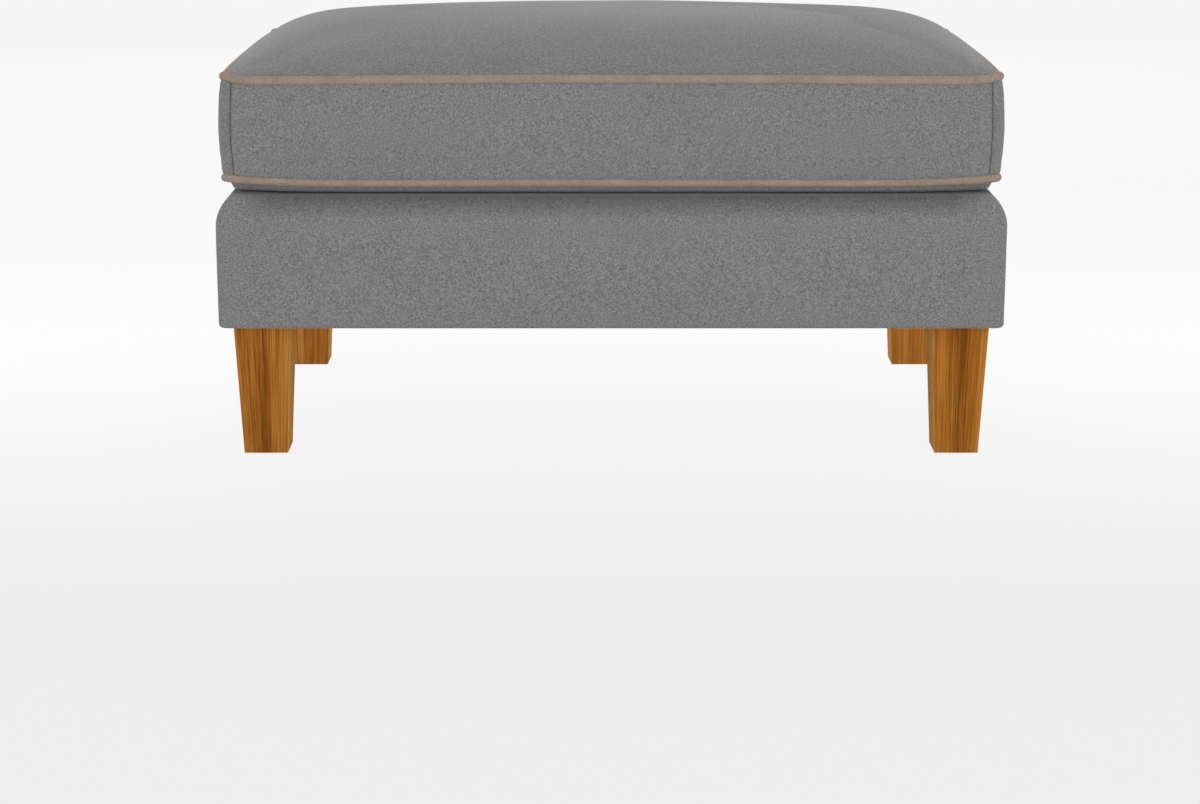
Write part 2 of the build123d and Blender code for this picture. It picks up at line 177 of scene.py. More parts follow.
def paint(tree, shader, factor, dark, light):
    tree.links.new(blendColour(tree, factor, dark, light), shader.inputs["Base Color"])


def relief(tree, shader, height, depth, strength):
    bump = wired(tree, "ShaderNodeBump", {"Height": height, "Distance": depth * 0.001, "Strength": strength})
    tree.links.new(bump, shader.inputs["Normal"])


# Finishes, whose noises are given as scale, detail and roughness

clothFinish = {
    "surface": {"Roughness": 0.94, "Sheen Weight": 0.27, "Sheen Roughness": 0.4, "Specular IOR Level": 0.25},
    "dark": (0.098, 0.098, 0.098, 1), "light": (0.312, 0.311, 0.31, 1),
    "twill": 2.4, "weft": 0.8, "weftShare": 0.5,
    "speckle": (600, 3, 0.62), "blotch": (16, 3, 0.55), "mottle": (75, 3, 0.55),
    # The middle level and the share of the speckle, the weave, the blotch and the mottle
    "mean": 0.5, "levels": (0.5, 0.75, 0.5, 0.5), "shares": (2.1, 0.28, 0.12, 0.05),
    "depth": 0.4, "relief": 0.4,
    # Painted shade: the base cover's cloth is darkened round its top edge and on the deck, under the cushion's edge,
    # and less so at the corners
    "paintedShade": 0.44, "paintedShadeLow": 0.250, "paintedShadeHigh": 0.2705, "paintedShadeEnd": 0.2735, "paintedShadeHalf": (0.345, 0.190), "paintedShadeFade": 0.03,
}


def makeGreyCloth():
    size = clothFinish
    material, tree, shader = newFinish("greyCloth", size["surface"])
    twill = bands(tree, patternSpace(tree, (1, -1, 1), source="UV"), size["twill"], "DIAGONAL", 0.5, 3)
    weft = bands(tree, patternSpace(tree, source="UV"), size["twill"] * size["weft"], "DIAGONAL", 0.8, 2)
    weave = mixIn(tree, twill, weft, size["weftShare"])
    speckle, blotch, mottle = [cloudy(tree, *size[layer]) for layer in ("speckle", "blotch", "mottle")]
    shade = size["mean"]
    for value, level, share in zip((speckle, weave, blotch, mottle), size["levels"], size["shares"]):
        shade = mixIn(tree, shade, value, share, level)
    shade = sums(tree, "ADD", shade, use_clamp=True)
    # Painted shade under the cushion's edge: darker with height up to the deck, and fading out towards the corners
    place = parts(tree, patternSpace(tree))
    inFront, beside = [
        rescale(tree, sums(tree, "ABSOLUTE", place[axis]), half, half + size["paintedShadeFade"], 1, 0)
        for axis, half in zip("XY", size["paintedShadeHalf"])]
    paintedShade = rescale(tree, place["Z"], size["paintedShadeLow"], size["paintedShadeHigh"], 0, size["paintedShade"])
    paintedShade = sums(tree, "MULTIPLY", paintedShade, sums(tree, "LESS_THAN", place["Z"], size["paintedShadeEnd"]))
    paintedShade = sums(tree, "MULTIPLY", paintedShade, sums(tree, "MAXIMUM", inFront, beside))
    paint(tree, shader, paintedShade, blendColour(tree, shade, size["dark"], size["light"]), (0, 0, 0, 1))
    relief(tree, shader, sums(tree, "ADD", weave, speckle), size["depth"], size["relief"])
    return material


pipingFinish = {
    "surface": {"Roughness": 0.9, "Sheen Weight": 0.1, "Specular IOR Level": 0.25},
    "dark": (0.05, 0.038, 0.028, 1), "light": (0.60, 0.47, 0.362, 1),
    "thread": 1.3, "bias": 45, "speckle": (520, 3, 0.6), "wear": (40, 2, 0.5),
    "shares": (0.4, 0.55, 0.25), "depth": 0.35, "relief": 0.6,
}


def makeTaupePiping():
    # The sleeve is cut on the bias, so its threads run slantwise round the cord
    size = pipingFinish
    material, tree, shader = newFinish("taupePiping", size["surface"])
    along = patternSpace(tree, turn=(0, 0, radians(size["bias"])), source="UV")
    weave = sums(tree, "MULTIPLY", *(bands(tree, along, size["thread"], axis, 0.6, 2) for axis in "XY"))
    speckle, wear = [cloudy(tree, *size[layer]) for layer in ("speckle", "wear")]
    shade = 0.0
    for value, share in zip((weave, speckle, wear), size["shares"]):
        shade = mixIn(tree, shade, value, share)
    paint(tree, shader, shade, size["dark"], size["light"])
    relief(tree, shader, sums(tree, "ADD", weave, speckle), size["depth"], size["relief"])
    return material


legFinish = {
    "surface": {"Roughness": 0.6, "Specular IOR Level": 0.0},
    "dark": (0.17, 0.053, 0.008, 1), "middle": (0.37, 0.134, 0.0195, 1), "light": (0.53, 0.24, 0.054, 1),
    # Painted light: plain and pale are the sideways faces' lit colours, and the next tint makes the rear legs paler
    "plain": (0.66, 0.30, 0.068, 1), "pale": (0.90, 0.46, 0.13, 1), "rearPaintedLight": (1.5, 1.5, 1.6, 1),
    "darkTones": (0.22, 0.52), "lightTones": (0.48, 0.84), "plainTones": (0.2, 0.8),
    "legPlace": (0.357, 0.202, 0), "legHeight": 0.1364, "footShare": 0.776,
    "heart": (0.012, 0.075, 0), "ring": 15, "ringStretch": 0.05, "ringShare": 0.08,
    "ringWaver": {"Distortion": 2.0, "Detail": 2, "Detail Scale": 1.2}, "wanderStretch": (0.4, 0.4, 1),
    # Noise scale, stretch along the leg, detail, roughness, share of the tone, and middle level
    "grains": {
        "streak": (170, 0.014, 3, 0.6, 0.4, 0), "broad": (30, 0.05, 2, 0.5, 0.6, 0),
        "pores": (900, 0.022, 2, 0.7, 0.8, 0.5), "fine": (520, 0.009, 3, 0.65, 1.0, 0.5),
    },
    "streakPlace": 0.002, "streakHalf": 0.011, "streakDepth": 0.14, "wander": 0.006, "wanderScale": 7,
    "sideLightShare": 0.95, "sideways": (0.6, 0.85), "depth": 0.12, "relief": 0.25,
}


def makeLegWood():
    # Growth rings round a heart that lies outside each leg, so that its faces cut them as sawn wood does
    size = legFinish
    material, tree, shader = newFinish("legWood", size["surface"])
    coordinates = wire(tree, "ShaderNodeTexCoord").outputs["Object"]
    place = parts(tree, coordinates)
    centred = vectors(tree, "SUBTRACT", vectors(tree, "ABSOLUTE", coordinates), size["legPlace"])
    # The grain follows the legs' taper, and each leg has a grain of its own
    widened = sums(tree, "DIVIDE", 1.0, rescale(tree, place["Z"], 0, size["legHeight"], size["footShare"], 1))
    spread = wired(tree, "ShaderNodeCombineXYZ", {0: widened, 1: widened, 2: 1.0})
    centred = vectors(tree, "MULTIPLY", centred, spread)
    straight = vectors(tree, "ADD", centred, vectors(tree, "SIGN", coordinates))

    def stretched(vector, share):
        return wired(tree, "ShaderNodeMapping", {"Vector": vector, "Scale": (1, 1, share)})

    rings = wire(
        tree, "ShaderNodeTexWave",
        {"Vector": stretched(vectors(tree, "ADD", centred, size["heart"]), size["ringStretch"]),
         "Scale": 2 * pi / (20 * size["ring"] * 0.001), **size["ringWaver"]},
        wave_type="RINGS", rings_direction="Z",
    ).outputs["Fac"]
    tone = sums(tree, "MULTIPLY", rings, size["ringShare"])
    grains = {}
    for name, (scale, stretch, detail, roughness, share, level) in size["grains"].items():
        grains[name] = cloudy(tree, scale, detail, roughness, stretched(straight, stretch))
        tone = mixIn(tree, tone, grains[name], share, level)
    # A darker streak runs down the middle of the front and back faces
    cloud = cloudy(tree, size["wanderScale"], space=patternSpace(tree, size["wanderStretch"]))
    across = mixIn(tree, parts(tree, centred)["X"], cloud, size["wander"], 0.5)
    away = sums(tree, "ABSOLUTE", sums(tree, "SUBTRACT", across, size["streakPlace"]))
    tone = sums(tree, "SUBTRACT", tone, rescale(tree, away, 0, size["streakHalf"], size["streakDepth"], 0))
    colour = blendColour(tree, rescale(tree, tone, *size["darkTones"]), size["dark"], size["middle"])
    colour = blendColour(tree, rescale(tree, tone, *size["lightTones"]), colour, size["light"])
    # Painted light: the two rear legs are made paler, standing in for more light reaching them under the base
    atRear = sums(tree, "GREATER_THAN", place["Y"])
    colour = blendColour(tree, atRear, colour, size["rearPaintedLight"], "MULTIPLY")
    # Painted light: the sideways faces, across the growth rings, are made paler than the front and back faces, standing
    # in for the brighter light on the legs' sides; their plainer figure is the wood's own
    facing = parts(tree, wire(tree, "ShaderNodeNewGeometry").outputs["True Normal"])["X"]
    sideways = rescale(tree, sums(tree, "ABSOLUTE", facing), *size["sideways"], 0, size["sideLightShare"])
    plain = blendColour(tree, rescale(tree, tone, *size["plainTones"]), size["plain"], size["pale"])
    paint(tree, shader, sideways, colour, plain)
    relief(tree, shader, grains["pores"], size["depth"], size["relief"])
    return material


innerFinish = {
    # The shares are those of the marks and of a coarser cloud in the tone, and relief gives its depth and strength
    "wood": {
        "surface": {"Roughness": 0.75}, "grain": (3, 0.6), "distortion": 0.4, "coarser": 6, "shares": (0.6, 0.4),
        "tones": (0.3, 0.7), "plyShare": 0.3, "relief": (0.2, 0.3),
    },
    "spongy": {"surface": {"Roughness": 0.95}, "coarser": 20, "detail": 3, "shares": (0.6, 0.5), "strength": 0.5},
    "nonwoven": {
        "surface": {"Roughness": 0.85}, "dots": (620, 0.15), "cloud": (300, 4, 0.7), "relief": (0.15, 0.4),
        "colours": ((0.009, 0.009, 0.01, 1), (0.05, 0.05, 0.052, 1)),
    },
    "tape": {
        "surface": {"Roughness": 0.9}, "ribs": (0.9, "X", 0.3), "cloud": 700, "shares": (0.5, 0.5),
        "relief": (0.15, 0.5), "colours": ((0.085, 0.085, 0.088, 1), (0.18, 0.18, 0.185, 1)),
    },
}


def markedTone(tree, size, marks, cloud):
    first, second = size["shares"]
    return mixIn(tree, sums(tree, "MULTIPLY", marks, first), cloud, second)


def makePlainWood(name, dark, light, stretch, scale, ply=0):
    size = innerFinish["wood"]
    material, tree, shader = newFinish(name, size["surface"])
    space = patternSpace(tree, stretch)
    grain = cloudy(tree, scale, *size["grain"], space, size["distortion"])
    tone = markedTone(tree, size, grain, cloudy(tree, scale / size["coarser"], space=space))
    colour = blendColour(tree, rescale(tree, tone, *size["tones"]), dark, light)
    if ply:  # the glued layers show on the edges
        layers = bands(tree, patternSpace(tree), ply, "Z")
        colour = blendColour(tree, sums(tree, "MULTIPLY", layers, size["plyShare"]), colour, dark)
    tree.links.new(colour, shader.inputs["Base Color"])
    relief(tree, shader, grain, *size["relief"])
    return material


def makeSpongy(name, dark, light, scale, depth):
    # Foam cells or felted fibres, by the scale
    size = innerFinish["spongy"]
    material, tree, shader = newFinish(name, size["surface"])
    cells = cellular(tree, scale)
    tone = markedTone(tree, size, cells, cloudy(tree, scale / size["coarser"], size["detail"]))
    paint(tree, shader, tone, dark, light)
    relief(tree, shader, cells, depth, size["strength"])
    return material


def makeNonwoven():
    # Spunbond cloth, bonded in small dots
    size = innerFinish["nonwoven"]
    material, tree, shader = newFinish("blackNonwoven", size["surface"])
    dots = cellular(tree, *size["dots"])
    paint(tree, shader, sums(tree, "MULTIPLY", dots, cloudy(tree, *size["cloud"])), *size["colours"])
    relief(tree, shader, dots, *size["relief"])
    return material


def makeTape():
    size = innerFinish["tape"]
    material, tree, shader = newFinish("zipTape", size["surface"])
    ribs = bands(tree, patternSpace(tree), *size["ribs"])
    paint(tree, shader, markedTone(tree, size, ribs, cloudy(tree, size["cloud"])), *size["colours"])
    relief(tree, shader, ribs, *size["relief"])
    return material


smoothFinish = {
    "marked": (0.3, 0.7), "depth": 0.05,
    "metal": {"metallic": 1, "noise": (900, 3, 0.7), "darkest": 0.75, "spread": (-0.1, 0.12), "relief": 0.2},
    "moulded": {"metallic": 0, "noise": (1200, 3, 0.6), "darkest": 0.7, "spread": (-0.08, 0.08), "relief": 0.3},
}


def makeSmooth(name, kind, colour, roughness, stretch=(1, 1, 1)):
    # Brushed metal or moulded plastic, whose roughness varies with its marks
    size = smoothFinish[kind]
    material, tree, shader = newFinish(name, {"Metallic": size["metallic"]})
    marks = cloudy(tree, *size["noise"], patternSpace(tree, stretch))
    paint(tree, shader, marks, tuple(value * size["darkest"] for value in colour[:3]) + (1,), colour)
    smoothest, roughest = (roughness + change for change in size["spread"])
    tree.links.new(rescale(tree, marks, *smoothFinish["marked"], smoothest, roughest), shader.inputs["Roughness"])
    relief(tree, shader, marks, smoothFinish["depth"], size["relief"])
    return material


finishes = {
    "grey_cloth": makeGreyCloth(),
    "taupe_piping": makeTaupePiping(),
    "leg_wood": makeLegWood(),
    "frame_pine": makePlainWood("framePine", (0.45, 0.28, 0.13, 1), (0.68, 0.5, 0.3, 1), (0.08, 0.5, 1), 180),
    "plywood": makePlainWood("plywood", (0.42, 0.28, 0.15, 1), (0.65, 0.49, 0.31, 1), (0.06, 1, 1), 120, 3),
    "foam": makeSpongy("foam", (0.5, 0.44, 0.26, 1), (0.82, 0.77, 0.56, 1), 900, 0.4),
    "wadding": makeSpongy("wadding", (0.62, 0.62, 0.6, 1), (0.9, 0.9, 0.88, 1), 350, 0.6),
    "zinc_steel": makeSmooth("zincSteel", "metal", (0.56, 0.57, 0.58, 1), 0.38),
    "black_nonwoven": makeNonwoven(),
    "glide_nylon": makeSmooth("glideNylon", "moulded", (0.05, 0.045, 0.04, 1), 0.5),
    "zip_tape": makeTape(),
    "zip_coil": makeSmooth("zipCoil", "moulded", (0.13, 0.13, 0.135, 1), 0.45),
    "zip_metal": makeSmooth("zipMetal", "metal", (0.42, 0.42, 0.43, 1), 0.33, (0.2, 1, 1)),
}
for part in frame["record"]["subparts"]:
    node = frame["nodes"][part["node"]]
    if not node.material_slots:
        node.data.materials.append(None)
    for holder in node.material_slots:
        holder.material = finishes[part["material_slot"]]
print("finishes made:", len(finishes))


# Mesh helpers


def finishPiece(piece, slotName, body, *replaced):
    if not piece.data.materials:
        piece.data.materials.append(finishes[slotName])
    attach(piece, body)
    if replaced:
        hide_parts(*replaced)
    return piece


def weld(mesh, reach):
    # Merges the points that lie within reach of one another
    shape = bmesh.new()
    shape.from_mesh(mesh)
    bmesh.ops.remove_doubles(shape, verts=shape.verts, dist=reach * 0.001)
    shape.to_mesh(mesh)
    shape.free()


def gridPiece(name, rows, closed=True, middle=(0, 0, 334)):
    # rows are lists of points of equal length, closed joins each row's end to its start, and faces turn from middle
    count = len(rows[0])
    columns = count if closed else count - 1
    placed = [[Vector(toMetres(point)) for point in row] for row in rows]
    faces = []
    for i in range(len(rows) - 1):
        for j in range(columns):
            k = (j + 1) % count
            faces.append((i * count + j, i * count + k, (i + 1) * count + k, (i + 1) * count + j))
    mesh = bpy.data.meshes.new(name)
    mesh.from_pydata([point for row in placed for point in row], [], faces)
    # The map goes by the longest steps round the piece and the shortest across it, so that a weave keeps its size
    along, across = [0.0], [0.0]
    for j in range(columns):
        along.append(along[-1] + max((row[(j + 1) % count] - row[j]).length for row in placed))
    for here, after in zip(placed, placed[1:]):
        across.append(across[-1] + min((b - a).length for a, b in zip(here, after)))
    layer = mesh.uv_layers.new(name="surface")
    for number, face in enumerate(mesh.polygons):
        i, j = divmod(number, columns)
        corners = ((j, i), (j + 1, i), (j + 1, i + 1), (j, i + 1))
        for loop, (column, row) in zip(face.loop_indices, corners):
            layer.data[loop].uv = (along[column], across[row])
    centre = Vector(toMetres(middle))
    if sum(face.normal.dot(face.center - centre) * face.area for face in mesh.polygons) < 0:
        mesh.flip_normals()
    weld(mesh, 0.005)
    mesh.shade_smooth()
    return newObject(name, mesh)


def bakeModifiers(piece):
    # Puts the modified mesh in the piece and takes its modifiers off
    mesh = bpy.data.meshes.new_from_object(piece.evaluated_get(bpy.context.evaluated_depsgraph_get()))
    piece.modifiers.clear()
    old = piece.data
    piece.data = mesh
    mesh.name = piece.name
    bpy.data.meshes.remove(old)
    return piece


def giveThickness(piece, thickness):
    wall = piece.modifiers.new("thickness", "SOLIDIFY")
    wall.thickness = thickness * 0.001
    wall.offset = -1
    wall.use_even_offset = True
    return bakeModifiers(piece)


def roundedRing(halfX, halfY, radius, stepsX, stepsY, cornerSteps):
    # (x, y, normal x, normal y) round a rounded rectangle, from the start of its back left corner
    radius = max(0, min(radius, 0.98 * min(halfX, halfY)))
    spanX, spanY = halfX - radius, halfY - radius
    ring = []
    layout = ((-1, 1, 90, stepsY), (-1, -1, 180, stepsX), (1, -1, 270, stepsY), (1, 1, 0, stepsX))
    for (sideX, sideY, firstAngle, steps), (nextX, nextY, *rest) in zip(layout, layout[1:] + layout[:1]):
        for k in range(cornerSteps):
            angle = radians(firstAngle + 90 * k / cornerSteps)
            outX, outY = cos(angle), sin(angle)
            ring.append((sideX * spanX + radius * outX, sideY * spanY + radius * outY, outX, outY))
        angle = radians(firstAngle + 90)
        outX, outY = cos(angle), sin(angle)
        endX, endY = sideX * spanX + radius * outX, sideY * spanY + radius * outY
        lengthX, lengthY = nextX * spanX + radius * outX - endX, nextY * spanY + radius * outY - endY
        ring += [(endX + lengthX * (k / steps), endY + lengthY * (k / steps), outX, outY) for k in range(steps)]
    return ring


def eased(places, value):
    # A smooth step from one of the (value, result) places to the next
    if value <= places[0][0]:
        return places[0][1]
    for (low, first), (high, second) in zip(places, places[1:]):
        if value <= high:
            share = (value - low) / (high - low)
            return first + (second - first) * share * share * (3 - 2 * share)
    return places[-1][1]


def waver(point, scale, amount):
    # The slight unevenness of padding under cloth
    return amount * noise.noise(Vector(point) / scale)


# Base cover

baseSize = {
    "halfX": 400, "halfY": 245, "cornerRadius": 10, "leastRadius": 2, "underside": 137, "hemRadius": 4,
    "sideTop": 241, "edgeRadius": 40, "deckTop": 271.6, "lastAngle": 46, "flatStart": 6, "cloth": 1.3,
    "hemInsets": (30, 24, 18, 12, 8), "hemSteps": 6, "sideSteps": 18, "edgeSteps": 10, "easeSteps": 5,
    "deckInsets": (26, 34, 44, 58, 76, 98, 124, 154, 186, 216, 236), "sharpInset": 150, "ringSteps": (132, 78, 8),
    "fullness": 0.9, "fullHeight": 190, "fullReach": 55, "fullInset": 12, "unevenness": 0.5, "unevenScale": 70,
}


def baseProfile():
    # (inset, height) from the hem's inner edge round to the middle of the deck
    size = baseSize
    bottom, hem, edge, deck = size["underside"], size["hemRadius"], size["edgeRadius"], size["deckTop"]
    profile = [(inset, bottom) for inset in size["hemInsets"]]
    for k in range(size["hemSteps"] + 1):
        angle = radians(90 * k / size["hemSteps"])
        profile.append((hem * (1 - sin(angle)), bottom + hem * (1 - cos(angle))))
    for k in range(1, size["sideSteps"] + 1):
        profile.append((0, bottom + hem + (size["sideTop"] - bottom - hem) * k / size["sideSteps"]))
    for k in range(1, size["edgeSteps"] + 1):
        angle = radians(size["lastAngle"] * k / size["edgeSteps"])
        profile.append((edge * (1 - cos(angle)), size["sideTop"] + edge * sin(angle)))
    firstInset, firstHeight = profile[-1]
    reach = (deck - firstHeight) * sin(angle) / cos(angle)
    for k in range(1, size["easeSteps"] + 1):
        t = k / size["easeSteps"]
        inset = firstInset + 2 * t * (1 - t) * reach + t * t * (reach + size["flatStart"])
        profile.append((inset, firstHeight + (2 * t * (1 - t) + t * t) * (deck - firstHeight)))
    return profile + [(inset, deck) for inset in size["deckInsets"] + (size["halfY"],)]


def makeBaseCover():
    size = baseSize
    halfX, halfY, sharp = size["halfX"], size["halfY"], size["sharpInset"]
    rows = []
    for inset, height in baseProfile():
        radius = size["cornerRadius"] - (inset if height < size["underside"] + size["hemRadius"] else 0)
        if inset > sharp:
            radius = size["cornerRadius"] * (halfY - inset) / (halfY - sharp)
        radius = max(radius, size["leastRadius"] if inset < sharp else 0)
        onSide = max(0, 1 - abs(height - size["fullHeight"]) / size["fullReach"]) if inset < size["fullInset"] else 0
        row = []
        for x, y, outX, outY in roundedRing(halfX - inset, halfY - inset, radius, *size["ringSteps"]):
            spread = abs(outX) * (1 - (y / halfY) ** 4) + abs(outY) * (1 - (x / halfX) ** 6)
            out = size["fullness"] * onSide * (2 - onSide) * spread
            out += waver((x, y, height), size["unevenScale"], size["unevenness"] * min(1, onSide * 3))
            row.append((x + outX * out, y + outY * out, height))
        rows.append(row)
    cover = gridPiece("baseCover", rows, middle=(0, 0, 200))
    return finishPiece(giveThickness(cover, size["cloth"]), "grey_cloth", "base", "base_cover")


makeBaseCover()
print("base cover made")


# Cushion

cushionSize = {
    "halfX": 397, "halfY": 223.5, "cornerRadius": 17, "lowerSeam": 281.645, "upperSeam": 386.245, "seamEdge": 2.2,
    "cloth": 1.3, "pipingRadius": 4.5, "pipingInset": 3, "ringSteps": (132, 74, 8),
    # How far the outline is drawn in: between the front corners, and as (amount, share of the height, power) below
    "frontPull": 2.0, "lowerDraw": (1.6, 0.75, 1.3), "upperDraw": 2.4, "upperDrawn": ((0.35, 0), (0.65, 0.55), (1, 1)),
    "drawReach": 45,
    # How far the seams rise at the corners, as (amount, reach), and between them
    "topLift": (6.0, 9.5), "bottomLift": (6.4, 50), "liftFlat": 7,
    "topBow": 1.9, "bottomBow": 1.1, "sideBow": 5.8, "bowReach": 25,
    "crown": 55.2, "crownQuick": 12, "crownSlow": 2, "crownSlowShare": 0.24, "crownShort": (2.4, 0.7),
    # Amount, distance from the side, reach, and reach from the front
    "shoulder": (4.0, 9, 6, 14),
    # The underside's depth, reach and powers, and its bulge as (amount, place, reach) with (share, reach) off it
    "sag": 9.7, "sagCurve": (7, 2.6, 0.7), "belly": (3.6, 6, 5), "bellyCorner": (4.2, 26),
    "seamStep": 1.2, "topSettle": 4, "bottomSettle": 1.5,
    "radiusLoss": 0.6, "leastRadius": 7, "sharpReach": 60,
    "unevenness": 0.6, "panelUneven": (90, 30), "sideUneven": (60, 20),
    "bulge": ((0, 0), (0.1, 0.5), (0.3, 1.6), (0.55, 2.3), (0.8, 1.5), (1, 0)),
    "backBulge": 2.2, "backBulged": ((0, 0), (0.25, 0.75), (0.5, 1), (0.75, 0.75), (1, 0)),
}
panelInsets = [4, 4.8, 5.8, 7, 8.5, 10.5, 13, 16, 20, 25, 31, 38, 46, 55, 64, 74, 84, 95, 106, 118, 130, 142, 154, 166,
               178, 190, 201, 211, 218, 223.5]


def cushionRing(inset, radius, steps):
    return roundedRing(cushionSize["halfX"] - inset, cushionSize["halfY"] - inset, radius, *steps)


def frontOrSide(outY):
    # 1 on the front and the sides, and 0 on the back, where the zip needs a flat face
    return 1 - max(0, outY)


def planShift(x, outY, height):
    # How far the cushion's outline is drawn in between its front corners, and towards its seams
    size = cushionSize
    pull = max(0, -outY) * size["frontPull"] * (1 - (x / size["halfX"]) ** 2)
    share = (height - size["lowerSeam"]) / (size["upperSeam"] - size["lowerSeam"])
    amount, highest, power = size["lowerDraw"]
    lower = amount * max(0, 1 - share / highest) ** power
    upper = size["upperDraw"] * eased(size["upperDrawn"], share)
    return -pull - (lower + upper) * frontOrSide(outY)


def edgeDistances(x, y):
    # How far a point is inside the cushion's short sides, and inside its front and back
    return max(0, cushionSize["halfX"] - abs(x)), max(0, cushionSize["halfY"] - abs(y))


def seamLift(x, y, upper):
    # The seams rise to the corners and towards the middles of the front and back, and the top one along the sides too
    size = cushionSize
    fromSide, fromFront = edgeDistances(x, y)
    amount, reach = size["topLift"] if upper else size["bottomLift"]
    lift = amount * exp(-max(0, hypot(fromSide, fromFront) - size["liftFlat"]) / reach)
    bow = size["topBow"] if upper else size["bottomBow"]
    lift += bow * (1 - (x / size["halfX"]) ** 2) * exp(-fromFront / size["bowReach"])
    if upper:
        lift += size["sideBow"] * (1 - (y / size["halfY"]) ** 4) * exp(-fromSide / size["bowReach"])
    return lift


def shoulderLift(x, y):
    # The fibre stands up a little beside the short sides' piping
    most, place, reach, frontReach = cushionSize["shoulder"]
    fromSide, fromFront = edgeDistances(x, y)
    return most * exp(-((fromSide - place) / reach) ** 2) * (1 - exp(-(fromFront / frontReach) ** 2))


def crownHeight(x, y):
    # Lower along the two short sides than along the front and back, so that their piping shows
    size = cushionSize
    nearX, nearY = [
        max(0, 1 - max(0, half - size["pipingInset"] - abs(value)) / (half - size["pipingInset"]))
        for half, value in ((size["halfX"], x), (size["halfY"], y))]
    power, root = size["crownShort"]
    slow = size["crownSlowShare"]
    riseX = (1 - slow) * (1 - nearX ** size["crownQuick"]) + slow * (1 - nearX ** size["crownSlow"])
    return size["crown"] * riseX * (1 - nearY ** power) ** root


def topRise(x, y, inset):
    size = cushionSize
    settle = min(1, (inset - panelInsets[0]) / size["topSettle"])
    return size["seamStep"] + (crownHeight(x, y) - size["seamStep"]) * settle * (2 - settle)


def bottomFall(inset):
    # The underside bulges below the piping and turns in sharply where it rests on the base
    size = cushionSize
    reach, power, root = size["sagCurve"]
    share = min(1, max(0, (inset - panelInsets[0]) / reach))
    depth = size["sag"] * (1 - (1 - share) ** power) ** root
    return -size["seamStep"] - (depth - size["seamStep"]) * min(1, (inset - panelInsets[0]) / size["bottomSettle"])


def panelRows(upper):
    # Rings from the seam, inside the piping, to a line in the middle of the panel
    size = cushionSize
    seamHeight = size["upperSeam"] if upper else size["lowerSeam"]
    bellyMost, bellyPlace, bellyReach = size["belly"]
    cornerShare, cornerReach = size["bellyCorner"]
    unevenScale, unevenReach = size["panelUneven"]
    rows = []
    for inset in panelInsets:
        radius = max(size["cornerRadius"] - inset * size["radiusLoss"], size["leastRadius"])
        radius *= min(1, (size["halfY"] - inset) / size["sharpReach"])
        flat = 1 - inset / size["halfY"]
        belly = 0 if upper else bellyMost * exp(-((inset - bellyPlace) / bellyReach) ** 2)
        row = []
        for x, y, outX, outY in cushionRing(inset, radius, size["ringSteps"]):
            corner = cornerShare * exp(-hypot(*edgeDistances(x, y)) / cornerReach)
            out = planShift(x, outY, seamHeight) * exp(-inset / size["drawReach"]) * flat
            out += belly * (1 - corner)
            if upper:
                z = seamHeight + topRise(x, y, inset) + shoulderLift(x, y) + seamLift(x, y, True)
            else:
                z = seamHeight + bottomFall(inset) + seamLift(x, y, False) * exp(-inset / size["bowReach"])
            z += waver((x, y, seamHeight), unevenScale, size["unevenness"] * min(1, inset / unevenReach))
            row.append((x + outX * out, y + outY * out, z))
        rows.append(row)
    return rows


settling = {
    "heldRows": 3, "frames": 20, "cap": 2.2, "evenReach": 16,
    "cloth": {
        "quality": 6, "mass": 0.3, "tension_stiffness": 25, "compression_stiffness": 25, "shear_stiffness": 8,
        "bending_stiffness": 1.5, "vertex_group_mass": "heldSeams", "use_pressure": True,
        "uniform_pressure_force": 3.0,
    },
}


def evenOut(mesh, start, moves, held):
    # The moves are evened out by area, because the crowded corner columns of the grid swell less than the rest
    area = [0.0] * len(start)
    for face in mesh.polygons:
        for number in face.vertices:
            area[number] += face.area
    spots = KDTree(len(start))
    for number, place in enumerate(start):
        spots.insert(place, number)
    spots.balance()
    reach = settling["evenReach"] * 0.001
    for number in range(held, len(start)):
        total, weight = Vector(), 0.0
        for place, other, distance in spots.find_range(start[number], reach):
            share = area[other] * (1 - distance / reach)
            total += moves[other] * share
            weight += share
        mesh.vertices[number].co = start[number] + total / weight


def settleCloth(piece, held):
    # Cloth simulation: the cloth swells and creases a little, its first held points stay, and none moves by over cap
    size = settling
    start = [vertex.co.copy() for vertex in piece.data.vertices]
    piece.vertex_groups.new(name="heldSeams").add(list(range(held)), 1.0, "REPLACE")
    cloth = piece.modifiers.new("settling", "CLOTH")
    for key, value in size["cloth"].items():
        setattr(cloth.settings, key, value)
    cloth.settings.effector_weights.gravity = 0
    cloth.collision_settings.use_collision = False
    cloth.point_cache.frame_start = 1
    cloth.point_cache.frame_end = size["frames"]
    for number in range(1, size["frames"] + 1):
        scene.frame_set(number)
    bakeModifiers(piece)
    scene.frame_set(1)
    moves = [vertex.co - place for vertex, place in zip(piece.data.vertices, start)]
    moves = [move * min(1, size["cap"] * 0.001 / max(move.length, 0.000001)) for move in moves]
    evenOut(piece.data, start, moves, held)
    piece.vertex_groups.clear()
    print("cloth settled:", piece.name)


def cushionCover(piece, replaced):
    return finishPiece(giveThickness(piece, cushionSize["cloth"]), "grey_cloth", "cushion", replaced)


panelSkins = []  # the panels' outer surfaces, which the fillings keep under


def makePanel(name, upper, replaced):
    rows = panelRows(upper)
    piece = gridPiece(name, rows)
    if upper:
        settleCloth(piece, settling["heldRows"] * len(rows[0]))
    points = [vertex.co.copy() for vertex in piece.data.vertices]
    panelSkins.append(BVHTree.FromPolygons(points, [list(face.vertices) for face in piece.data.polygons]))
    return cushionCover(piece, replaced)


makePanel("cushionTop", True, "cushion_top_panel")
makePanel("cushionBottom", False, "cushion_bottom_panel")
print("cushion panels made")

# Sides of the cushion: one boxing round the front and the two sides, with upright seams near its front corners

